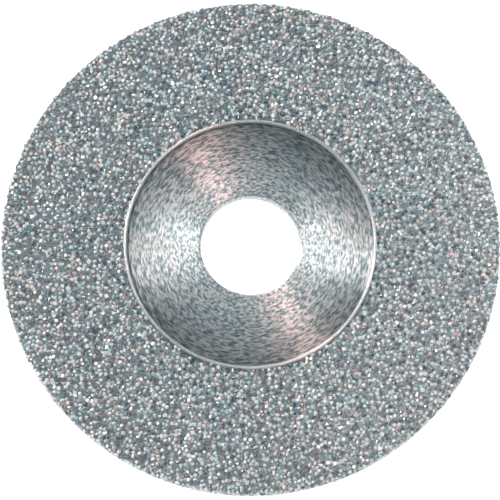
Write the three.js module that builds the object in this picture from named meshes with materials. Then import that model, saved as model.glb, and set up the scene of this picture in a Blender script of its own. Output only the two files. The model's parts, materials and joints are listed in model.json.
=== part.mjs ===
// Electroplated diamond grinding wheel with a dished centre: 100 mm diameter, 6 mm thick, 20 mm bore.
//
// A turned steel core carries a layer of plated nickel on its flat front face and round its edge,
// and the nickel holds one layer of diamond grit. The centre stays bare: it is a shallow saucer
// with a flat land round the bore, so that the clamping nut sits below the abrasive face.
//
// Every piece is a ring turned about the spindle axis. Millimetres, +Z up and out of the abrasive
// face, origin on the bore axis at the back face.

import * as THREE from 'three';

// Overall sizes
const WHEEL_RADIUS = 50; // over the grit on the edge
const WHEEL_THICKNESS = 6; // from the back face to the tips of the grit
const BORE_RADIUS = 10;
const TURNS = 96; // facets round the axis

// Coating
const BOND_THICKNESS = 0.3; // nickel, over the face and round the edge
const GRIT_PROUD = 0.2; // how far the diamonds stand out of the nickel
const BOND_FOOT = 0.5; // height above the back face where the nickel ends on the edge
const GRIT_FOOT = 1.0; // height above the back face where the diamonds end on the edge

// Core
const CORE_RADIUS = WHEEL_RADIUS - BOND_THICKNESS - GRIT_PROUD;
const CORE_THICKNESS = WHEEL_THICKNESS - BOND_THICKNESS - GRIT_PROUD;
const CORNER_ROUND = 0.6; // rounded front edge that the coating wraps over
const BACK_CHAMFER = 0.4;
const BORE_CHAMFER = 0.4;

// Dished centre
const DISH_RADIUS = 24.6; // where the bare dish meets the coating
const RIM_STEP_WIDTH = 0.3; // sloping step inside the dish's rim
const RIM_STEP_HEIGHT = 0.4;
const RIM_ROUND = 0.1; // rounded top of the step
const LAND_RADIUS = 14; // flat clamping land round the bore
const DISH_DEPTH = 1.6; // from the core's front face down to the land
const LAND_HEIGHT = CORE_THICKNESS - DISH_DEPTH;

// Bead of nickel that builds up along the inner border of the plating
const BEAD_WIDTH = 0.8;
const BEAD_HEIGHT = 0.42;

// Finishes
const TURNED_STEEL = { color: 0xb9bfc1, roughness: 0.35, metalness: 1.0 };
const PLATED_NICKEL = { color: 0xa9aba8, roughness: 0.3, metalness: 1.0 };
const DIAMOND_GRIT = { color: 0x919c9f, roughness: 0.55, metalness: 0.2 };

// Steps along the curved stretches of the profiles
const ROUND_STEPS = 4;
const SAUCER_STEPS = 8;
const BEAD_STEPS = 6;

const QUARTER_TURN = Math.PI / 2;
const CORNER_CENTRE = {
  radius: CORE_RADIUS - CORNER_ROUND,
  height: CORE_THICKNESS - CORNER_ROUND,
};

/** One point of a profile: distance from the spindle axis, and height above the back face. */
function at(radius, height) {
  return new THREE.Vector2(radius, height);
}

/** Points along the arc about centre, from one angle to another, both ends included. */
function arc(centre, size, fromAngle, toAngle, steps) {
  return Array.from({ length: steps + 1 }, (_, i) => {
    const angle = fromAngle + ((toAngle - fromAngle) * i) / steps;
    return at(centre.radius + size * Math.cos(angle), centre.height + size * Math.sin(angle));
  });
}

/** The front outer corner, offset outwards from the core, from the edge round to the face. */
function frontCorner(offset) {
  const points = arc(CORNER_CENTRE, CORNER_ROUND + offset, 0, QUARTER_TURN, ROUND_STEPS);
  points[0] = at(CORE_RADIUS + offset, CORNER_CENTRE.height);
  points[ROUND_STEPS] = at(CORNER_CENTRE.radius, CORE_THICKNESS + offset);
  return points;
}

/** The saucer, from the foot of the rim's step in to the land, level where it meets the land. */
function saucer() {
  const footRadius = DISH_RADIUS - RIM_STEP_WIDTH;
  const footHeight = CORE_THICKNESS - RIM_STEP_HEIGHT;
  return Array.from({ length: SAUCER_STEPS + 1 }, (_, i) => {
    const share = 1 - i / SAUCER_STEPS;
    const radius = LAND_RADIUS + (footRadius - LAND_RADIUS) * share;
    return at(radius, LAND_HEIGHT + (footHeight - LAND_HEIGHT) * share * share);
  });
}

/** The rounded top of the dish's rim, from the flat face over to the sloping step. */
function rimRound() {
  const slope = Math.atan2(RIM_STEP_HEIGHT, RIM_STEP_WIDTH);
  const centre = { radius: DISH_RADIUS, height: CORE_THICKNESS - RIM_ROUND };
  return arc(centre, RIM_ROUND, QUARTER_TURN, QUARTER_TURN + slope, ROUND_STEPS);
}

/** A ring turned from a closed profile whose points run anticlockwise as (radius, height). */
function turned(name, profile, finish) {
  const geometry = new THREE.LatheGeometry([...profile, profile[0]], TURNS);
  geometry.rotateX(QUARTER_TURN); // from +Y up to +Z up
  const ring = new THREE.Mesh(geometry, finish);
  ring.name = name;
  return ring;
}

/** Turned steel blank: flat back, rounded front edge, dished centre, chamfered bore. */
function coreBody(finish) {
  const profile = [
    at(BORE_RADIUS + BORE_CHAMFER, 0),
    at(CORE_RADIUS - BACK_CHAMFER, 0),
    at(CORE_RADIUS, BACK_CHAMFER),
    ...frontCorner(0),
    ...rimRound(),
    ...saucer(),
    at(BORE_RADIUS + BORE_CHAMFER, LAND_HEIGHT),
    at(BORE_RADIUS, LAND_HEIGHT - BORE_CHAMFER),
    at(BORE_RADIUS, BORE_CHAMFER),
  ];
  return turned('core_body', profile, finish);
}

/** Nickel skin over the face and the edge, with its raised bead along the dish's rim. */
function nickelBond(finish) {
  const bondHeight = CORE_THICKNESS + BOND_THICKNESS;
  const beadRadius = DISH_RADIUS + BEAD_WIDTH / 2;
  const bead = Array.from({ length: BEAD_STEPS + 1 }, (_, i) => {
    const angle = (Math.PI * i) / BEAD_STEPS;
    const width = (Math.cos(angle) * BEAD_WIDTH) / 2;
    return at(beadRadius + width, CORE_THICKNESS + Math.sin(angle) * BEAD_HEIGHT);
  });
  bead[0] = at(DISH_RADIUS + BEAD_WIDTH, bondHeight);
  bead[BEAD_STEPS] = at(DISH_RADIUS, CORE_THICKNESS);
  const profile = [
    ...frontCorner(0).reverse(),
    at(CORE_RADIUS, BOND_FOOT),
    at(CORE_RADIUS + BOND_THICKNESS, BOND_FOOT + BOND_THICKNESS),
    ...frontCorner(BOND_THICKNESS),
    ...bead,
  ];
  return turned('nickel_bond', profile, finish);
}

/** Diamond layer on the flat annular face. */
function faceGrit(finish) {
  const foot = CORE_THICKNESS + BOND_THICKNESS;
  const inner = DISH_RADIUS + BEAD_WIDTH;
  const outer = CORNER_CENTRE.radius;
  const profile = [
    at(inner, foot),
    at(outer, foot),
    at(outer, foot + GRIT_PROUD),
    at(inner + GRIT_PROUD, foot + GRIT_PROUD),
  ];
  return turned('face_grit', profile, finish);
}

/** Diamond layer that wraps over the rounded front corner and down the edge. */
function edgeGrit(finish) {
  const profile = [
    ...frontCorner(BOND_THICKNESS).reverse(),
    at(CORE_RADIUS + BOND_THICKNESS, GRIT_FOOT),
    at(WHEEL_RADIUS, GRIT_FOOT + GRIT_PROUD),
    ...frontCorner(BOND_THICKNESS + GRIT_PROUD),
  ];
  return turned('edge_grit', profile, finish);
}

/** The finish of one piece. */
function finish(look) {
  return new THREE.MeshStandardMaterial(look);
}

const group = new THREE.Group();
group.add(coreBody(finish(TURNED_STEEL)));
group.add(nickelBond(finish(PLATED_NICKEL)));
group.add(faceGrit(finish(DIAMOND_GRIT)));
group.add(edgeGrit(finish(DIAMOND_GRIT)));

export default group;
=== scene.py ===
"""Looks of a plated diamond grinding wheel with a dished, lathe-turned centre.

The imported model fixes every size. This script turns a fine steel core, lays the nickel deposit over it,
sets several thousand diamond crystals in the nickel, and lights the wheel on a pale floor.
Lengths are in metres, +Z is the spindle axis, and the abrasive face looks up.
"""

import json
import logging
import math
import random
from collections.abc import Callable, Iterator
from dataclasses import dataclass, field
from enum import Enum
from itertools import product

import bmesh
import bpy
from mathutils import Euler, Matrix, Vector, noise


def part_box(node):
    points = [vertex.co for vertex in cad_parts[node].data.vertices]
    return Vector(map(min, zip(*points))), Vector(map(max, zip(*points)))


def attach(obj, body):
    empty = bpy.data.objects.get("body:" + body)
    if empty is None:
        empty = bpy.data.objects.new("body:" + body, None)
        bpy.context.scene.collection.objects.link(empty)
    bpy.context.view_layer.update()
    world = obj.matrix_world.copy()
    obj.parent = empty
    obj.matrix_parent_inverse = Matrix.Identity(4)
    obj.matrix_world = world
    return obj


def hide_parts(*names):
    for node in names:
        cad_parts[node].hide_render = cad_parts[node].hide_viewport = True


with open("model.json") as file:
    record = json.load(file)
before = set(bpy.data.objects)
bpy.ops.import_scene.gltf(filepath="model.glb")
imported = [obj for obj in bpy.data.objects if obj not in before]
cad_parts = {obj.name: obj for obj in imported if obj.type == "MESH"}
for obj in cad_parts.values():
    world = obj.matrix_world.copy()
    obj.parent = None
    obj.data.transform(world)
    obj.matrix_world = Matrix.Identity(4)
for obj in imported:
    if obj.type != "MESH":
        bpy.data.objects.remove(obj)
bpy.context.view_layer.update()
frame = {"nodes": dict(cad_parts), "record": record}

LOG = logging.getLogger("grinding_wheel")
MM = 0.001
FULL_TURN = 2 * math.pi
QUARTER_TURN = math.pi / 2
BODY = "root"
SEED = 4

Pair = tuple[float, float]
Triple = tuple[float, float, float]
Socket = bpy.types.NodeSocket
Node = bpy.types.Node
Ring = list[bmesh.types.BMEdge]


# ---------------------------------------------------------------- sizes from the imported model


def inner_radius(node: str) -> float:
    """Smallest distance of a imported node's surface from the spindle axis.

    Args:
        node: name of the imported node.

    Returns:
        The radius in metres.
    """
    return min(math.hypot(v.co.x, v.co.y) for v in frame["nodes"][node].data.vertices)


def mount_height(name: str) -> float:
    """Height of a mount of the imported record.

    Args:
        name: the mount's name.

    Returns:
        Its z in metres.
    """
    return next(m["pos_m"][2] for m in frame["record"]["mounts"] if m["name"] == name)


@dataclass(frozen=True)
class WheelSizes:
    """Radii and heights of the wheel, in metres."""

    bore_radius: float
    dish_radius: float
    core_radius: float
    bond_radius: float
    tip_radius: float
    corner_radius: float
    grit_inner_radius: float
    land_height: float
    core_height: float
    bond_height: float
    tip_height: float
    bead_height: float
    bond_foot: float
    grit_foot: float

    @classmethod
    def from_frame(cls) -> "WheelSizes":
        """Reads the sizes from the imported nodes.

        Returns:
            The sizes of the wheel.
        """
        core_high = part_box("core_body")[1]
        bond_low, bond_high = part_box("nickel_bond")
        face_low, face_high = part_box("face_grit")
        edge_low, edge_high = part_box("edge_grit")
        return cls(
            bore_radius=inner_radius("core_body"),
            dish_radius=inner_radius("nickel_bond"),
            core_radius=core_high.x,
            bond_radius=bond_high.x,
            tip_radius=edge_high.x,
            corner_radius=face_high.x,
            grit_inner_radius=inner_radius("face_grit"),
            land_height=mount_height("front_clamping_land"),
            core_height=core_high.z,
            bond_height=face_low.z,
            tip_height=face_high.z,
            bead_height=bond_high.z,
            bond_foot=bond_low.z,
            grit_foot=edge_low.z,
        )


# ---------------------------------------------------------------- shader building blocks


class Shader:
    """Short ways to add and join the nodes of one tree."""

    def __init__(self, tree: bpy.types.NodeTree) -> None:
        """Wraps a tree.

        Args:
            tree: the node tree of a material, world or group.
        """
        self.tree = tree

    def add(self, kind: str, **values: object) -> Node:
        """Adds a node and sets its properties.

        Args:
            kind: the node's type, without the ShaderNode prefix.
            **values: properties of the node.

        Returns:
            The new node.
        """
        node = self.tree.nodes.new("ShaderNode" + kind)
        for name, value in values.items():
            setattr(node, name, value)
        return node

    def join(self, source: Socket, target: Socket) -> None:
        """Links an output to an input."""
        self.tree.links.new(source, target)

    def maths(self, operation: str, first: object, second: object = None) -> Socket:
        """Adds a Math node.

        Args:
            operation: the node's operation.
            first: a socket or a number for the first input.
            second: a socket or a number for the second input, if it has one.

        Returns:
            The result's socket.
        """
        node = self.add("Math", operation=operation)
        for socket, value in zip(node.inputs, (first, second)):
            self.feed(socket, value)
        return node.outputs[0]

    def vector_maths(self, operation: str, first: object, second: object = None) -> Node:
        """Adds a Vector Math node.

        Args:
            operation: the node's operation.
            first: a socket or a vector for the first input.
            second: a socket or a vector for the second input, if it has one.

        Returns:
            The node, whose outputs are Vector and Value.
        """
        node = self.add("VectorMath", operation=operation)
        for socket, value in zip(node.inputs, (first, second)):
            self.feed(socket, value)
        return node

    def feed(self, socket: Socket, value: object) -> None:
        """Links a socket to an input, or sets a plain value on it."""
        if isinstance(value, Socket):
            self.join(value, socket)
        elif value is not None:
            socket.default_value = value

    def noise(self, vector: Socket, scale: object, detail: float, roughness: float = 0.5) -> Socket:
        """Adds a Noise Texture.

        Args:
            vector: the socket with its coordinates.
            scale: cells for each unit of the coordinates, a number or a socket.
            detail: octaves.
            roughness: how strong the finer octaves are.

        Returns:
            The socket of its value.
        """
        node = self.add("TexNoise")
        self.feed(node.inputs["Vector"], vector)
        self.feed(node.inputs["Scale"], scale)
        node.inputs["Detail"].default_value = detail
        node.inputs["Roughness"].default_value = roughness
        return node.outputs["Fac"]

    def ramp(self, value: Socket, stops: list[tuple[float, Triple]]) -> Socket:
        """Adds a Color Ramp.

        Args:
            value: the socket that drives it.
            stops: positions from 0 to 1, each with its colour.

        Returns:
            The socket of its colour.
        """
        node = self.add("ValToRGB")
        elements = node.color_ramp.elements
        while len(elements) < len(stops):
            elements.new(0.5)
        for element, (position, colour) in zip(elements, stops):
            element.position = position
            element.color = (*colour, 1.0)
        self.join(value, node.inputs["Fac"])
        return node.outputs["Color"]

    def spread(self, value: Socket, low: float, high: float, source: Pair = (0.0, 1.0)) -> Socket:
        """Maps a value from one range to another, held at both ends.

        Args:
            value: the socket to map.
            low: what the start of the source range becomes.
            high: what its end becomes.
            source: the range it comes in.

        Returns:
            The mapped socket.
        """
        node = self.add("MapRange")
        self.join(value, node.inputs["Value"])
        node.inputs["From Min"].default_value, node.inputs["From Max"].default_value = source
        node.inputs["To Min"].default_value = low
        node.inputs["To Max"].default_value = high
        return node.outputs["Result"]

    def bump(self, height: Socket, distance: float, normal: Socket | None = None) -> Socket:
        """Adds a Bump node.

        Args:
            height: the socket of the height, from 0 to 1.
            distance: how far a height of 1 stands out, in metres.
            normal: a normal to build on.

        Returns:
            The socket of the bumped normal.
        """
        node = self.add("Bump")
        node.inputs["Distance"].default_value = distance
        self.join(height, node.inputs["Height"])
        self.feed(node.inputs["Normal"], normal)
        return node.outputs["Normal"]

    def across(self, position: Socket) -> Socket:
        """Flattens a position onto the plane of the wheel's face."""
        return self.vector_maths("MULTIPLY", position, (1, 1, 0)).outputs["Vector"]

    def radius(self, position: Socket) -> Socket:
        """Measures how far a position is from the spindle axis."""
        return self.vector_maths("LENGTH", self.across(position)).outputs["Value"]

    def scaled(self, vector: Socket, factor: Socket) -> Socket:
        """Scales a vector or a colour by a value."""
        node = self.add("VectorMath", operation="SCALE")
        self.join(vector, node.inputs[0])
        self.join(factor, node.inputs["Scale"])
        return node.outputs["Vector"]

    def group(self, tree: bpy.types.NodeTree, **values: object) -> Node:
        """Places a node group.

        Args:
            tree: the group's tree.
            **values: sockets or numbers for its inputs, by name.

        Returns:
            The group's node.
        """
        node = self.add("Group", node_tree=tree)
        for name, value in values.items():
            self.feed(node.inputs[name], value)
        return node


def new_group(
    name: str, inputs: dict[str, str], outputs: dict[str, str]
) -> tuple[Shader, Node, Node]:
    """Starts a shader node group.

    Args:
        name: the group's name.
        inputs: socket names and their kinds, such as Float or Vector.
        outputs: the same for what it puts out.

    Returns:
        The shader of its tree, its input node and its output node.
    """
    tree = bpy.data.node_groups.new(name, "ShaderNodeTree")
    for direction, sockets in (("INPUT", inputs), ("OUTPUT", outputs)):
        for socket, kind in sockets.items():
            tree.interface.new_socket(socket, in_out=direction, socket_type="NodeSocket" + kind)
    return Shader(tree), tree.nodes.new("NodeGroupInput"), tree.nodes.new("NodeGroupOutput")


def turning_marks() -> bpy.types.NodeTree:
    """Builds the group for the marks that a lathe tool leaves round an axis.

    Returns:
        A group from a position on the piece, the marks per metre along the tool's travel and how quickly
        they change round the turn, to a height and to the broad streaks they fall in.
    """
    shader, source, target = new_group(
        "turning_marks",
        {"Position": "Vector", "Marks": "Float", "Breaks": "Float"},
        {"Height": "Float", "Streaks": "Float"},
    )
    position = source.outputs["Position"]
    heading = shader.vector_maths("NORMALIZE", shader.across(position)).outputs["Vector"]
    turn = shader.scaled(heading, source.outputs["Breaks"])
    parts = shader.add("SeparateXYZ")
    shader.join(position, parts.inputs["Vector"])
    travel = shader.maths("ADD", shader.radius(position), parts.outputs["Z"])
    along = shader.add("CombineXYZ")
    shader.join(shader.maths("MULTIPLY", travel, source.outputs["Marks"]), along.inputs["Z"])
    spot = shader.vector_maths("ADD", turn, along.outputs["Vector"]).outputs["Vector"]
    shader.join(shader.noise(spot, scale=1.0, detail=4.0, roughness=0.6), target.inputs["Height"])
    shader.join(shader.noise(spot, scale=0.22, detail=3.0, roughness=0.65), target.inputs["Streaks"])
    return shader.tree


def fine_speckle() -> bpy.types.NodeTree:
    """Builds the group for the fine grain and the faint stains that every finish here has.

    Returns:
        A group from a position and a grain size in metres to a speckle, a stain and a fine height.
    """
    shader, source, target = new_group(
        "fine_speckle",
        {"Position": "Vector", "Grain": "Float"},
        {"Speckle": "Float", "Stain": "Float", "Height": "Float"},
    )
    grains_across_stain = 25.0
    density = shader.maths("DIVIDE", 1.0, source.outputs["Grain"])
    speckle = shader.noise(source.outputs["Position"], density, detail=2.0, roughness=0.7)
    shader.join(shader.spread(speckle, 0.0, 1.0, source=(0.3, 0.7)), target.inputs["Speckle"])
    broad = shader.maths("DIVIDE", density, grains_across_stain)
    stain = shader.noise(source.outputs["Position"], broad, detail=3.0, roughness=0.6)
    shader.join(shader.spread(stain, 0.0, 1.0, source=(0.35, 0.7)), target.inputs["Stain"])
    shader.join(speckle, target.inputs["Height"])
    return shader.tree


@dataclass
class Workshop:
    """The node groups that the finishes share, each built once."""

    turning: bpy.types.NodeTree = field(default_factory=turning_marks)
    speckle: bpy.types.NodeTree = field(default_factory=fine_speckle)


def start_material(name: str) -> tuple[bpy.types.Material, Shader, Node, Socket]:
    """Starts a node material.

    Args:
        name: the material's name.

    Returns:
        The material, its shader, its Principled node and the socket of the piece's own coordinates.
    """
    material = bpy.data.materials.new(name)
    material.use_nodes = True
    shader = Shader(material.node_tree)
    principled = material.node_tree.nodes["Principled BSDF"]
    position = shader.add("TexCoord").outputs["Object"]
    return material, shader, principled, position


@dataclass(frozen=True)
class TurnedSteel:
    """Bare steel straight from the lathe: fine rings, broken into arcs, that stretch every highlight."""

    dark: Triple = (0.20, 0.31, 0.35)
    light: Triple = (1.00, 0.96, 0.95)
    roughness: Pair = (0.285, 0.33)
    anisotropy: float = 1.0
    # painted shade: the dish's colour is darkened towards its rim, where the steel mirrors dimmer
    # surroundings
    painted_rim_shade: float = 0.47
    painted_shade_span: Pair = (13 * MM, 24.3 * MM)
    along_radius: float = 0.25
    marks_per_metre: float = 2400.0
    breaks: float = 16.0
    mark_depth: float = 0.065 * MM
    streak_share: float = 0.1
    tone_range: Pair = (0.45, 0.66)
    lines_per_mark: float = 4.0
    line_breaks: float = 1.5
    line_depth: float = 0.008 * MM
    grain: float = 0.22 * MM

    def make(self, shop: Workshop) -> bpy.types.Material:
        """Builds the material.

        Args:
            shop: the shared node groups.

        Returns:
            The material.
        """
        material, shader, principled, position = start_material("turned_steel")
        spacing = self.marks_per_metre * self.lines_per_mark
        marks = shader.group(
            shop.turning, Position=position, Marks=self.marks_per_metre, Breaks=self.breaks
        )
        lines = shader.group(shop.turning, Position=position, Marks=spacing, Breaks=self.line_breaks)
        grain = shader.group(shop.speckle, Position=position, Grain=self.grain)
        streaks = shader.maths("MULTIPLY", marks.outputs["Streaks"], self.streak_share)
        tone = shader.maths("ADD", marks.outputs["Height"], streaks)
        bright = shader.ramp(tone, list(zip(self.tone_range, (self.dark, self.light))))
        # Painted shade: the steel's colour falls off towards the rim of the dish.
        rim_darkening = shader.spread(shader.radius(position), 1.0, self.painted_rim_shade, self.painted_shade_span)
        shader.join(shader.scaled(bright, rim_darkening), principled.inputs["Base Color"])
        principled.inputs["Metallic"].default_value = 1.0
        worn = shader.spread(grain.outputs["Stain"], *self.roughness)
        shader.join(worn, principled.inputs["Roughness"])
        principled.inputs["Anisotropic"].default_value = self.anisotropy
        principled.inputs["Anisotropic Rotation"].default_value = self.along_radius
        tangent = shader.add("Tangent", direction_type="RADIAL", axis="Z")
        shader.join(tangent.outputs["Tangent"], principled.inputs["Tangent"])
        dashes = shader.bump(marks.outputs["Height"], self.mark_depth)
        surface = shader.bump(lines.outputs["Height"], self.line_depth, normal=dashes)
        shader.join(surface, principled.inputs["Normal"])
        return material


@dataclass(frozen=True)
class SatinNickel:
    """Electroplated nickel, smooth and swollen into nodules. By default its colour is darkened to teal
    grey: painted shade for the gaps between the grains.
    """

    # painted shade: these default tones sit well below bare nickel so the nickel between the grains reads
    # as shade
    dark: Triple = (0.06, 0.15, 0.18)
    light: Triple = (0.45, 0.49, 0.50)
    roughness: Pair = (0.29, 0.40)
    nodules_per_metre: float = 2600.0
    nodule_height: float = 0.09 * MM
    grain: float = 0.3 * MM
    tone_range: Pair = (0.1, 0.8)
    name: str = "plated_nickel"

    def make(self, shop: Workshop) -> bpy.types.Material:
        """Builds the material.

        Args:
            shop: the shared node groups.

        Returns:
            The material.
        """
        material, shader, principled, position = start_material(self.name)
        grain = shader.group(shop.speckle, Position=position, Grain=self.grain)
        colour = shader.ramp(
            grain.outputs["Speckle"], list(zip(self.tone_range, (self.dark, self.light)))
        )
        shader.join(colour, principled.inputs["Base Color"])
        principled.inputs["Metallic"].default_value = 1.0
        shader.join(shader.spread(grain.outputs["Stain"], *self.roughness), principled.inputs["Roughness"])
        nodules = shader.add("TexVoronoi", feature="SMOOTH_F1")
        shader.join(position, nodules.inputs["Vector"])
        nodules.inputs["Scale"].default_value = self.nodules_per_metre
        swell = shader.maths("SUBTRACT", 1.0, nodules.outputs["Distance"])
        shader.join(shader.bump(swell, self.nodule_height), principled.inputs["Normal"])
        return material


# A lighter copy of the nickel for the bead along the dish: painted highlight for its bright rim line.
BEAD_NICKEL_PAINTED_HIGHLIGHT = SatinNickel(
    dark=(0.55, 0.58, 0.60),
    light=(0.90, 0.86, 0.84),
    roughness=(0.28, 0.40),
    nodule_height=0.012 * MM,
    name="bead_nickel_painted_highlight",
)


@dataclass(frozen=True)
class DiamondCrystal:
    """Synthetic diamond grains: hard bright facets over a body that runs from smoky to clear."""

    tones: tuple[tuple[float, Triple], ...] = (
        (0.00, (0.00, 0.04, 0.06)),
        (0.11, (0.02, 0.14, 0.20)),
        (0.21, (0.30, 0.15, 0.12)),
        (0.30, (0.13, 0.44, 0.58)),
        (0.39, (1.00, 0.56, 0.42)),
        (0.49, (0.36, 0.86, 1.00)),
        (0.60, (1.00, 0.80, 0.68)),
        (0.71, (0.80, 1.00, 1.00)),
        (0.84, (1.00, 0.98, 0.97)),
    )
    roughness: Pair = (0.08, 0.28)
    refraction: float = 2.42
    metallic: float = 0.0
    grain: float = 0.12 * MM
    tone_share: float = 0.86
    cloud_share: float = 0.16
    lighter_outwards: Pair = (-0.02, 0.07)
    outwards: Pair = (26 * MM, 49 * MM)
    pitting: float = 0.008 * MM
    tone_attribute: str = "grain_tone"

    def make(self, shop: Workshop) -> bpy.types.Material:
        """Builds the material.

        Args:
            shop: the shared node groups.

        Returns:
            The material.
        """
        material, shader, principled, position = start_material("diamond_crystal")
        tone = shader.add("Attribute", attribute_name=self.tone_attribute).outputs["Fac"]
        grain = shader.group(shop.speckle, Position=position, Grain=self.grain)
        cloud = shader.maths("MULTIPLY", grain.outputs["Speckle"], self.cloud_share)
        # The grains' tone is pushed lighter towards the rim of the wheel.
        rim_lightening = shader.spread(shader.radius(position), *self.lighter_outwards, self.outwards)
        body = shader.maths("ADD", shader.maths("MULTIPLY", tone, self.tone_share), cloud)
        depth = shader.maths("ADD", body, rim_lightening)
        shader.join(shader.ramp(depth, list(self.tones)), principled.inputs["Base Color"])
        principled.inputs["Metallic"].default_value = self.metallic
        principled.inputs["IOR"].default_value = self.refraction
        facets = shader.spread(grain.outputs["Speckle"], *self.roughness)
        shader.join(facets, principled.inputs["Roughness"])
        shader.join(shader.bump(grain.outputs["Height"], self.pitting), principled.inputs["Normal"])
        return material


# ---------------------------------------------------------------- turned shapes


@dataclass
class Turning:
    """A closed profile in the XZ plane, turned about the spindle axis and rounded with mesh operators."""

    name: str
    steps: int = 384
    mesh: bmesh.types.BMesh = field(default_factory=bmesh.new)
    smooth_below: float = math.radians(28)
    merge_within: float = 0.0005 * MM
    found_within: float = 0.002 * MM

    def outline(self, corners: list[Pair]) -> Ring:
        """Draws the profile.

        Args:
            corners: radius and height of each corner, in order round the profile.

        Returns:
            Its edges: the one at each index leaves the corner with that index.
        """
        points = [self.mesh.verts.new((radius, 0, height)) for radius, height in corners]
        return [self.mesh.edges.new((a, b)) for a, b in zip(points, points[1:] + points[:1])]

    def divide(self, edge: bmesh.types.BMEdge, cuts: int, height: Callable[[float], float]) -> None:
        """Divides one stretch of the profile and gives it a curve.

        Args:
            edge: the stretch.
            cuts: how many points go into it.
            height: height for a given radius.
        """
        ends = set(edge.verts)
        made = bmesh.ops.subdivide_edges(self.mesh, edges=[edge], cuts=cuts)
        for item in made["geom_inner"]:
            if isinstance(item, bmesh.types.BMVert) and item not in ends:
                item.co.z = height(item.co.x)

    def turn(self) -> None:
        """Spins the profile through a full turn and closes it."""
        geometry = self.mesh.verts[:] + self.mesh.edges[:]
        bmesh.ops.spin(
            self.mesh,
            geom=geometry,
            cent=(0, 0, 0),
            axis=(0, 0, 1),
            angle=FULL_TURN,
            steps=self.steps,
            use_merge=True,
        )
        bmesh.ops.remove_doubles(self.mesh, verts=self.mesh.verts[:], dist=self.merge_within)
        bmesh.ops.recalc_face_normals(self.mesh, faces=self.mesh.faces[:])

    def ring(self, radius: float, height: float) -> Ring:
        """Finds the ring of edges at one corner of the profile.

        Args:
            radius: the corner's radius.
            height: the corner's height.

        Returns:
            The edges.
        """

        def here(vertex: bmesh.types.BMVert) -> bool:
            """Says whether a vertex lies on the ring."""
            aside = abs(math.hypot(vertex.co.x, vertex.co.y) - radius)
            return max(aside, abs(vertex.co.z - height)) < self.found_within

        return [edge for edge in self.mesh.edges if here(edge.verts[0]) and here(edge.verts[1])]

    def round_ring(self, radius: float, height: float, size: float, segments: int) -> None:
        """Rounds one corner of the turned profile.

        Args:
            radius: the corner's radius.
            height: the corner's height.
            size: how far the round reaches from the corner.
            segments: facets across the round.
        """
        bmesh.ops.bevel(
            self.mesh,
            geom=self.ring(radius, height),
            offset=size,
            segments=segments,
            profile=0.5,
            affect="EDGES",
            material=-1,
        )

    def finish(self, material: bpy.types.Material) -> bpy.types.Object:
        """Turns the bmesh into an object of the scene.

        Args:
            material: its finish.

        Returns:
            The object.
        """
        for face in self.mesh.faces:
            face.smooth = True
        for edge in self.mesh.edges:
            edge.smooth = edge.calc_face_angle(0.0) < self.smooth_below
        data = bpy.data.meshes.new(self.name)
        self.mesh.to_mesh(data)
        self.mesh.free()
        data.materials.append(material)
        piece = bpy.data.objects.new(self.name, data)
        bpy.context.scene.collection.objects.link(piece)
        return piece


def place(piece: bpy.types.Object, node: str) -> bpy.types.Object:
    """Hands a piece to the frame.

    Args:
        piece: the finished piece.
        node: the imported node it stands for.

    Returns:
        The piece.
    """
    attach(piece, BODY)
    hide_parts(node)
    triangles = sum(len(polygon.vertices) - 2 for polygon in piece.data.polygons)
    LOG.info("%s stands for %s, %d triangles", piece.name, node, triangles)
    return piece


@dataclass
class TurnedCore:
    """The steel blank: flat back, chamfered bore, clamping land, saucer and the step up to its rim."""

    sizes: WheelSizes
    bore_chamfer: float = 0.4 * MM
    back_chamfer: float = 0.4 * MM
    land_radius: float = 14 * MM
    step_width: float = 0.3 * MM
    step_height: float = 0.4 * MM
    deburr: float = 0.06 * MM
    rim_round: float = 0.2 * MM
    dish_rows: int = 110
    back_rows: int = 60
    ripple: float = 0.004 * MM
    ripple_pitches: tuple[float, ...] = (1.13 * MM, 0.71 * MM, 2.9 * MM)

    def tool_ripple(self, radius: float) -> float:
        """Height of the turned surface above its nominal line.

        Args:
            radius: where on the face.

        Returns:
            The height, never below zero.
        """
        waves = [math.sin(FULL_TURN * radius / pitch + pitch / MM) for pitch in self.ripple_pitches]
        return self.ripple * (1 + sum(waves) / len(waves))

    def dish_height(self, radius: float) -> float:
        """Height of the dish: level on the land, then rising as a saucer to the foot of the step.

        Args:
            radius: where in the dish.

        Returns:
            The height in metres.
        """
        foot_radius = self.sizes.dish_radius - self.step_width
        foot_height = self.sizes.core_height - self.step_height
        share = max(0.0, (radius - self.land_radius) / (foot_radius - self.land_radius))
        rise = (foot_height - self.sizes.land_height) * share**2
        return self.sizes.land_height + rise - self.ripple + self.tool_ripple(radius)

    def build(self, finish: bpy.types.Material) -> bpy.types.Object:
        """Turns the core.

        Args:
            finish: the steel's material.

        Returns:
            The piece.
        """
        s = self.sizes
        turning = Turning("core_turned")
        bore_mouth = s.bore_radius + self.bore_chamfer
        corners = [
            (bore_mouth, 0.0),
            (s.core_radius - self.back_chamfer, 0.0),
            (s.core_radius, self.back_chamfer),
            (s.core_radius, s.core_height),
            (s.dish_radius, s.core_height),
            (s.dish_radius - self.step_width, s.core_height - self.step_height),
            (bore_mouth, s.land_height),
            (s.bore_radius, s.land_height - self.bore_chamfer),
            (s.bore_radius, self.bore_chamfer),
        ]
        edges = turning.outline(corners)
        turning.divide(edges[0], self.back_rows, self.tool_ripple)
        turning.divide(edges[5], self.dish_rows, self.dish_height)
        turning.turn()
        corner_round = s.core_radius - s.corner_radius
        turning.round_ring(*corners[3], corner_round, segments=5)
        turning.round_ring(*corners[4], self.rim_round, segments=4)
        for corner in (0, 1, 2, 5, 6, 7, 8):
            turning.round_ring(*corners[corner], self.deburr, segments=2)
        return place(turning.finish(finish), "core_body")


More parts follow.
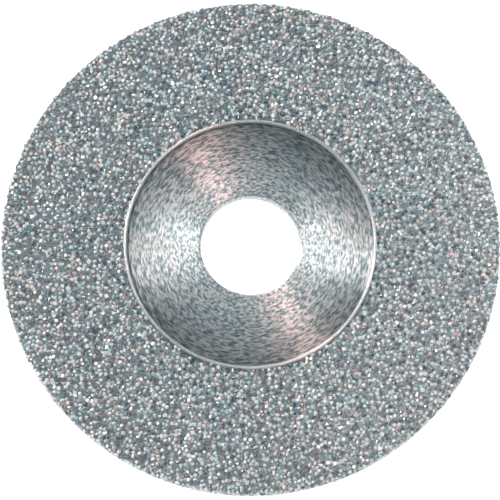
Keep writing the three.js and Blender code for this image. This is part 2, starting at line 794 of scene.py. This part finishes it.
@dataclass
class NickelDeposit:
    """The plated skin, uneven as plating is, with the bead that grows along its masked border."""

    sizes: WheelSizes
    bead_width: float = 0.8 * MM
    bead_round: float = 0.48
    bead_segments: int = 8
    bead_margin: float = 1.01
    foot_round: float = 0.1 * MM
    face_rows: int = 64
    swell: float = 0.27 * MM
    swell_pitch: float = 1.1 * MM
    wander: float = 0.05 * MM
    wander_pitch: float = 4.0 * MM

    def swelling(self, place_on: Vector, pitch: float) -> float:
        """Noise from 0 to 1 over the wheel.

        Args:
            place_on: a point of the surface.
            pitch: the size of its swellings.

        Returns:
            The noise there.
        """
        return 0.5 + 0.5 * noise.noise(place_on / pitch)

    def way_out(self, point: Vector) -> Vector:
        """Finds which way is out of the core at a point of the skin.

        Args:
            point: the point.

        Returns:
            The way to it from the line round which the core's front corner is rounded: straight up over
            the face, and straight out along the edge.
        """
        s = self.sizes
        corner = s.core_radius - s.corner_radius
        across = Vector((point.x, point.y, 0))
        out = max(across.length - s.corner_radius, 0.0)
        above = max(point.z - (s.core_height - corner), 0.0)
        return across.normalized() * out + Vector((0, 0, above))

    def uneven(self, turning: Turning) -> None:
        """Makes the plated surface uneven, and leaves what touches the core where it is.

        Args:
            turning: the turned skin.
        """
        s = self.sizes
        corner = s.core_radius - s.corner_radius
        half_skin = (s.bond_radius - s.core_radius) / 2
        bead_edge = s.dish_radius + self.bead_width * self.bead_margin
        for vertex in turning.mesh.verts:
            radius = math.hypot(vertex.co.x, vertex.co.y)
            outward = self.way_out(vertex.co)
            if outward.length - corner < half_skin:
                continue
            if radius < bead_edge:
                broad = self.swelling(vertex.co, self.wander_pitch)
                drift = 1 + self.wander * (broad - 0.5) / radius
                vertex.co.x *= drift
                vertex.co.y *= drift
                vertex.co.z -= self.wander * broad
            else:
                sunk = self.swell * self.swelling(vertex.co, self.swell_pitch)
                vertex.co -= outward.normalized() * sunk

    def build(self, finish: bpy.types.Material, bead_finish: bpy.types.Material) -> bpy.types.Object:
        """Lays the nickel over the core.

        Args:
            finish: the material of the nickel among the grains.
            bead_finish: the material of the bead along the dish.

        Returns:
            The piece.
        """
        s = self.sizes
        skin = s.bond_radius - s.core_radius
        turning = Turning("nickel_plating", steps=720)
        corners = [
            (s.dish_radius, s.core_height),
            (s.core_radius, s.core_height),
            (s.core_radius, s.bond_foot),
            (s.bond_radius, s.bond_foot + skin),
            (s.bond_radius, s.bond_height),
            (s.dish_radius + self.bead_width, s.bond_height),
            (s.dish_radius + self.bead_width, s.bead_height),
            (s.dish_radius, s.bead_height),
        ]
        edges = turning.outline(corners)
        turning.divide(edges[4], self.face_rows, lambda radius: s.bond_height)
        turning.turn()
        core_round = s.core_radius - s.corner_radius
        turning.round_ring(*corners[1], core_round, segments=5)
        turning.round_ring(*corners[4], core_round + skin, segments=6)
        turning.round_ring(*corners[3], self.foot_round, segments=3)
        for corner in (6, 7):
            turning.round_ring(*corners[corner], self.bead_width * self.bead_round, self.bead_segments)
        self.uneven(turning)
        for face in turning.mesh.faces:
            middle = face.calc_center_median()
            face.material_index = int(math.hypot(middle.x, middle.y) < s.dish_radius + self.bead_width)
        piece = turning.finish(finish)
        piece.data.materials.append(bead_finish)
        return place(piece, "nickel_bond")


# ---------------------------------------------------------------- diamond grit


class Habit(Enum):
    """The shapes that the grains grow or break into."""

    CUBE = "cube with its corners cut"
    CUBO_OCTAHEDRON = "cube cut back to its edges"
    OCTAHEDRON = "octahedron with its points cut"
    SPLINTER = "broken grain"


@dataclass
class CrystalStock:
    """A few crystals of each habit, one unit across, that are stamped all over the wheel."""

    draw: random.Random
    of_each: int = 4
    splinter_points: int = 9
    splinter_reach: Pair = (0.42, 0.6)
    octahedron_radius: float = 0.62
    octahedron_cut: Pair = (0.12, 0.26)
    cube_size: float = 0.78
    cube_cut: Pair = (0.10, 0.22)
    edge_to_edge_cut: float = 0.36
    merge_within: float = 0.06
    second_axis: Pair = (0.82, 1.0)
    third_axis: Pair = (0.72, 0.95)
    distortion: Pair = (-0.035, 0.035)

    def rough_shape(self, habit: Habit) -> bmesh.types.BMesh:
        """Cuts one crystal before it is distorted.

        Args:
            habit: the shape to cut.

        Returns:
            The bmesh of a crystal about one unit across.
        """
        mesh = bmesh.new()
        if habit is Habit.SPLINTER:
            for _ in range(self.splinter_points):
                heading = Vector([self.draw.gauss(0, 1) for _ in range(3)]).normalized()
                mesh.verts.new(heading * self.draw.uniform(*self.splinter_reach))
            hull = bmesh.ops.convex_hull(mesh, input=mesh.verts[:])
            spare = [item for item in hull["geom_interior"] if isinstance(item, bmesh.types.BMVert)]
            bmesh.ops.delete(mesh, geom=spare, context="VERTS")
            return mesh
        if habit is Habit.OCTAHEDRON:
            bmesh.ops.create_uvsphere(
                mesh, u_segments=4, v_segments=2, radius=self.octahedron_radius
            )
            cut = self.draw.uniform(*self.octahedron_cut)
        else:
            bmesh.ops.create_cube(mesh, size=self.cube_size)
            cut = self.draw.uniform(*self.cube_cut) if habit is Habit.CUBE else self.edge_to_edge_cut
        bmesh.ops.bevel(
            mesh, geom=mesh.verts[:], offset=cut, segments=1, profile=0.5, affect="VERTICES", material=-1
        )
        bmesh.ops.remove_doubles(mesh, verts=mesh.verts[:], dist=self.merge_within)
        return mesh

    def crystal(self, habit: Habit, number: int) -> bpy.types.Mesh:
        """Makes one crystal mesh.

        Args:
            habit: its shape.
            number: tells it from the others of that shape.

        Returns:
            A closed mesh about one unit across, with an empty tone on its points.
        """
        shape = self.rough_shape(habit)
        stretch = Vector((1.0, self.draw.uniform(*self.second_axis), self.draw.uniform(*self.third_axis)))
        bmesh.ops.scale(shape, vec=stretch, verts=shape.verts[:])
        for vertex in shape.verts:
            vertex.co += Vector([self.draw.uniform(*self.distortion) for _ in range(3)])
        bmesh.ops.triangulate(shape, faces=shape.faces[:])
        bmesh.ops.recalc_face_normals(shape, faces=shape.faces[:])
        mesh = bpy.data.meshes.new(f"crystal_{habit.name.lower()}_{number}")
        shape.to_mesh(mesh)
        shape.free()
        mesh.attributes.new(DiamondCrystal.tone_attribute, "FLOAT", "POINT")
        return mesh

    def cut_all(self) -> list[bpy.types.Mesh]:
        """Makes the whole stock.

        Returns:
            The crystal meshes.
        """
        return [self.crystal(habit, number) for habit in Habit for number in range(self.of_each)]


@dataclass(frozen=True)
class Seat:
    """Where one grain sits: a point on the nickel and the way out of the surface there."""

    point: Vector
    outward: Vector


@dataclass
class GritLayer:
    """The single layer of grains over the face and round the edge."""

    sizes: WheelSizes
    draw: random.Random
    crystals: list[bpy.types.Mesh]
    gap: float = 0.70 * MM
    grain_size: Pair = (0.80 * MM, 1.10 * MM)
    tries: int = 18
    sunk: float = 0.09 * MM
    sectors: int = 4
    clearance: float = 0.004 * MM
    tone_draws: int = 3
    toned: dict[tuple[int, ...], list[float]] = field(default_factory=dict)

    def face_seat(self) -> Seat:
        """Picks a seat anywhere on the flat annular face."""
        s = self.sizes
        inner, outer = s.grit_inner_radius, s.corner_radius
        radius = math.sqrt(self.draw.uniform(inner**2, outer**2))
        angle = self.draw.uniform(0, FULL_TURN)
        point = Vector((radius * math.cos(angle), radius * math.sin(angle), s.bond_height))
        return Seat(point, Vector((0, 0, 1)))

    def edge_seat(self) -> Seat:
        """Picks a seat anywhere on the rounded front corner or down the edge."""
        s = self.sizes
        bend = s.bond_radius - s.corner_radius
        along = self.draw.uniform(0, self.edge_length())
        angle = self.draw.uniform(0, FULL_TURN)
        tilt = min(along / bend, QUARTER_TURN)
        drop = max(0.0, along - bend * QUARTER_TURN)
        heading = Vector((math.cos(angle), math.sin(angle), 0))
        outward = heading * math.sin(tilt) + Vector((0, 0, math.cos(tilt)))
        bend_centre = heading * s.corner_radius + Vector((0, 0, s.bond_height - bend))
        return Seat(bend_centre + outward * bend - Vector((0, 0, drop)), outward)

    def edge_length(self) -> float:
        """Length of the coated profile from the flat face round the corner to the grit's foot."""
        s = self.sizes
        bend = s.bond_radius - s.corner_radius
        straight = s.bond_height - bend - s.grit_foot - self.grain_size[1] / 2
        return bend * QUARTER_TURN + straight

    def scatter(self) -> tuple[list[Seat], list[Seat]]:
        """Scatters grains over the face and then the edge, none nearer to another than the gap.

        Returns:
            The seats on the face and the seats on the edge.
        """
        s = self.sizes
        face_area = math.pi * (s.corner_radius**2 - s.grit_inner_radius**2)
        edge_area = FULL_TURN * s.bond_radius * self.edge_length()
        taken: dict[tuple[int, ...], list[Vector]] = {}
        layers = []
        for pick, area in ((self.face_seat, face_area), (self.edge_seat, edge_area)):
            seats = []
            for _ in range(int(self.tries * area / self.gap**2)):
                seat = pick()
                if self.is_free(seat.point, taken):
                    taken.setdefault(self.cell(seat.point), []).append(seat.point)
                    seats.append(seat)
            layers.append(seats)
        return layers[0], layers[1]

    def cell(self, point: Vector) -> tuple[int, ...]:
        """Cell of the search grid that a point falls in."""
        return tuple(math.floor(value / self.gap) for value in point)

    def cells_around(self, point: Vector) -> Iterator[tuple[int, ...]]:
        """Cells of the search grid round a point, its own among them."""
        return product(*((value - 1, value, value + 1) for value in self.cell(point)))

    def is_free(self, point: Vector, taken: dict[tuple[int, ...], list[Vector]]) -> bool:
        """Says whether a point is further than the gap from every grain laid so far.

        Args:
            point: the point to try.
            taken: the grains by the cell they are in.

        Returns:
            True where a grain fits.
        """
        near = (other for key in self.cells_around(point) for other in taken.get(key, ()))
        return all((point - other).length > self.gap for other in near)

    def unlike_neighbours(self, point: Vector) -> float:
        """Draws a tone that stands out from the grains already laid round a point.

        Args:
            point: where the grain sits.

        Returns:
            Its tone, from 0 to 1.
        """
        around = [tone for key in self.cells_around(point) for tone in self.toned.get(key, ())]
        average = sum(around) / len(around) if around else 0.5
        drawn = [self.draw.random() for _ in range(self.tone_draws)]
        tone = max(drawn, key=lambda candidate: abs(candidate - average))
        self.toned.setdefault(self.cell(point), []).append(tone)
        return tone

    def stamp(self, mesh: bmesh.types.BMesh, seat: Seat) -> None:
        """Sets one grain, turned at random, with its highest tip just under the wheel's outer size.

        Args:
            mesh: the layer it is added to.
            seat: where it sits.
        """
        s = self.sizes
        crystal = self.draw.choice(self.crystals).copy()
        size = self.draw.uniform(*self.grain_size)
        turn = Euler([self.draw.uniform(0, FULL_TURN) for _ in range(3)]).to_matrix().to_4x4()
        crystal.transform(turn @ Matrix.Scale(size, 4))
        reach = max(vertex.co.dot(seat.outward) for vertex in crystal.vertices)
        proud = s.tip_height - s.bond_height - self.clearance
        lift = proud - reach - self.draw.random() ** 2 * self.sunk
        spot = seat.point + seat.outward * lift
        tips = [spot + vertex.co for vertex in crystal.vertices]
        too_high = max(tip.z for tip in tips) + self.clearance - s.tip_height
        too_wide = max(math.hypot(tip.x, tip.y) for tip in tips) + self.clearance - s.tip_radius
        heading = Vector((spot.x, spot.y, 0)).normalized()
        spot -= heading * max(too_wide, 0.0) + Vector((0, 0, max(too_high, 0.0)))
        crystal.transform(Matrix.Translation(spot))
        tone = self.unlike_neighbours(seat.point)
        tones = crystal.attributes[DiamondCrystal.tone_attribute].data
        tones.foreach_set("value", [tone] * len(tones))
        mesh.from_mesh(crystal)
        bpy.data.meshes.remove(crystal)

    def lay(
        self, name: str, node: str, seats: list[Seat], finish: bpy.types.Material
    ) -> bpy.types.Object:
        """Makes one piece of the layer.

        Args:
            name: the piece's name.
            node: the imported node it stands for.
            seats: where its grains sit.
            finish: the diamonds' material.

        Returns:
            The piece.
        """
        layer = bmesh.new()
        for seat in seats:
            self.stamp(layer, seat)
        data = bpy.data.meshes.new(name)
        layer.to_mesh(data)
        layer.free()
        data.materials.append(finish)
        piece = bpy.data.objects.new(name, data)
        bpy.context.scene.collection.objects.link(piece)
        return place(piece, node)

    def build(self, finish: bpy.types.Material) -> list[bpy.types.Object]:
        """Lays the whole layer, the face in equal sectors and the edge in one piece.

        Args:
            finish: the diamonds' material.

        Returns:
            The pieces.
        """
        face_seats, edge_seats = self.scatter()
        by_sector: list[list[Seat]] = [[] for _ in range(self.sectors)]
        for seat in face_seats:
            share = (math.atan2(seat.point.y, seat.point.x) / FULL_TURN) % 1.0
            by_sector[min(int(share * self.sectors), self.sectors - 1)].append(seat)
        pieces = [
            self.lay(f"face_grit_{number}", "face_grit", seats, finish)
            for number, seats in enumerate(by_sector, start=1)
        ]
        pieces.append(self.lay("edge_grit_wrap", "edge_grit", edge_seats, finish))
        return pieces


# ---------------------------------------------------------------- studio


@dataclass(frozen=True)
class SoftBox:
    """A rectangular soft light, hung where metal that leans a certain way mirrors it to the camera.

    The metal leans from the level by lean, towards turn, both in degrees. Turn runs clockwise from the
    wheel's right, as the camera sees it. The light's length lies in the direction of the lean.
    """

    name: str
    lean: float
    turn: float
    length: float
    width: float
    radiance: float
    colour: Triple
    distance: float = 0.9

    def hang(self, centre: Vector, to_camera: Vector) -> bpy.types.Object:
        """Hangs the light.

        Args:
            centre: what it looks at.
            to_camera: the way from there to the camera.

        Returns:
            The light's object.
        """
        lean, turn = math.radians(self.lean), math.radians(self.turn)
        long_side = Vector((math.cos(turn), -math.sin(turn), 0))
        mirror = long_side * math.sin(lean) + Vector((0, 0, math.cos(lean)))
        out = 2 * to_camera.dot(mirror) * mirror - to_camera
        data = bpy.data.lights.new(self.name, "AREA")
        data.shape = "RECTANGLE"
        data.size, data.size_y = self.length, self.width
        data.energy = self.radiance * math.pi * self.length * self.width
        data.color = self.colour
        long_side = (long_side - out * long_side.dot(out)).normalized()
        short_side = out.cross(long_side)
        turn = Matrix((long_side, short_side, out)).transposed().to_4x4()
        light = bpy.data.objects.new(self.name, data)
        light.matrix_world = Matrix.Translation(centre + out * self.distance) @ turn
        light.visible_camera = False
        bpy.context.scene.collection.objects.link(light)
        return light


@dataclass
class Studio:
    """Pale floor, soft lights, dim surroundings for the metal to mirror, and the camera."""

    sizes: WheelSizes
    elevation: float = math.radians(80.16)
    camera_distance: float = 394.4 * MM
    lens: float = 142.2
    aim: Triple = (-0.08 * MM, -1.22 * MM, 4.9 * MM)
    sensor: float = 36.0
    nearest: float = 0.01
    floor_size: float = 6.0
    floor_tones: Pair = (0.80, 0.82)
    mottle_range: Pair = (0.3, 0.7)
    mottles_per_metre: float = 8.0
    floor_roughness: float = 0.9
    floor_glow: float = 0.9
    floor_drop: float = 0.05 * MM
    overhead: Triple = (0.135, 0.20, 0.225)
    low_wall: Triple = (1.5, 1.5, 1.5)
    lit_side: Triple = (-0.8, 0.6, 0.0)
    far_wall: float = 0.15
    wall_top: Pair = (0.34, 0.52)
    lit_from: Pair = (-0.3, 0.6)
    backdrop: Triple = (0.93, 0.94, 0.95)
    lights: tuple[SoftBox, ...] = (
        SoftBox("top_box", 4, 6, 0.126, 0.063, 20.8, (1.00, 0.94, 0.89)),
        SoftBox("right_box", 14, 346, 0.126, 0.063, 20.9, (1.00, 0.91, 0.88)),
        SoftBox("left_box", 14, 181, 0.126, 0.063, 16.5, (1.00, 0.84, 0.77)),
        SoftBox("front_box", 14, 60, 0.126, 0.063, 29.0, (1.00, 0.60, 0.53)),
        SoftBox("left_window", 28, 192, 0.18, 0.26, 18.0, (1.00, 0.98, 0.98)),
        SoftBox("back_window", 28, 240, 0.11, 0.16, 26.0, (1.00, 0.69, 0.61)),
    )

    def floor(self) -> bpy.types.Object:
        """Lays the floor.

        Returns:
            The floor.
        """
        mesh = bmesh.new()
        bmesh.ops.create_grid(mesh, x_segments=1, y_segments=1, size=self.floor_size / 2)
        bmesh.ops.translate(mesh, vec=(0, 0, -self.floor_drop), verts=mesh.verts[:])
        data = bpy.data.meshes.new("floor")
        mesh.to_mesh(data)
        mesh.free()
        material, shader, principled, position = start_material("pale_floor")
        mottle = shader.noise(position, self.mottles_per_metre, detail=2.0)
        greys = [(tone, tone, tone) for tone in self.floor_tones]
        shader.join(
            shader.ramp(mottle, list(zip(self.mottle_range, greys))), principled.inputs["Base Color"]
        )
        principled.inputs["Roughness"].default_value = self.floor_roughness
        principled.inputs["Emission Color"].default_value = (1, 1, 1, 1)
        principled.inputs["Emission Strength"].default_value = self.floor_glow
        data.materials.append(material)
        floor = bpy.data.objects.new("floor", data)
        bpy.context.scene.collection.objects.link(floor)
        return floor

    def world(self) -> None:
        """Sets dim cool surroundings for the metal and a pale backdrop for the eye."""
        world = bpy.data.worlds.new("studio")
        world.use_nodes = True
        shader = Shader(world.node_tree)
        background = world.node_tree.nodes["Background"]
        mix = shader.add("Mix", data_type="RGBA")
        shader.join(shader.add("LightPath").outputs["Is Camera Ray"], mix.inputs["Factor"])
        outwards = shader.add("TexCoord").outputs["Generated"]
        heading = shader.add("SeparateXYZ")
        shader.join(outwards, heading.inputs["Vector"])
        wall = shader.ramp(heading.outputs["Z"], list(zip(self.wall_top, (self.low_wall, (0, 0, 0)))))
        towards = shader.vector_maths("DOT_PRODUCT", outwards, self.lit_side)
        lit = shader.spread(towards.outputs["Value"], self.far_wall, 1.0, self.lit_from)
        walls = shader.scaled(wall, lit)
        dome = shader.vector_maths("ADD", walls, self.overhead).outputs["Vector"]
        colours = [socket for socket in mix.inputs if socket.type == "RGBA"]
        shader.join(dome, colours[0])
        colours[1].default_value = (*self.backdrop, 1)
        colour = next(socket for socket in mix.outputs if socket.type == "RGBA")
        shader.join(colour, background.inputs["Color"])
        bpy.context.scene.world = world

    def to_camera(self) -> Vector:
        """Finds the way from the wheel to the camera."""
        return Vector((0, -math.cos(self.elevation), math.sin(self.elevation)))

    def camera(self) -> bpy.types.Object:
        """Sets the camera.

        Returns:
            The camera.
        """
        data = bpy.data.cameras.new("camera")
        data.lens = self.lens
        data.sensor_width = self.sensor
        data.clip_start = self.nearest
        back = self.to_camera()
        camera = bpy.data.objects.new("camera", data)
        camera.location = Vector(self.aim) + back * self.camera_distance
        camera.rotation_mode = "QUATERNION"
        camera.rotation_quaternion = back.to_track_quat("Z", "Y")
        bpy.context.scene.collection.objects.link(camera)
        bpy.context.scene.camera = camera
        return camera

    def set_up(self) -> None:
        """Sets the whole stage."""
        self.camera()
        self.floor()
        self.world()
        centre = Vector((0, 0, self.sizes.tip_height))
        for light in self.lights:
            light.hang(centre, self.to_camera())
        bpy.context.scene.view_settings.view_transform = "Standard"


def main() -> None:
    """Builds the wheel and its stage in order."""
    logging.basicConfig(level=logging.INFO, format="%(message)s")
    sizes = WheelSizes.from_frame()
    Studio(sizes).set_up()
    shop = Workshop()
    TurnedCore(sizes).build(TurnedSteel().make(shop))
    NickelDeposit(sizes).build(SatinNickel().make(shop), BEAD_NICKEL_PAINTED_HIGHLIGHT.make(shop))
    draw = random.Random(SEED)
    stock = CrystalStock(draw).cut_all()
    GritLayer(sizes, draw, stock).build(DiamondCrystal().make(shop))
    for crystal in stock:
        bpy.data.meshes.remove(crystal)


if __name__ == "__main__":
    main()
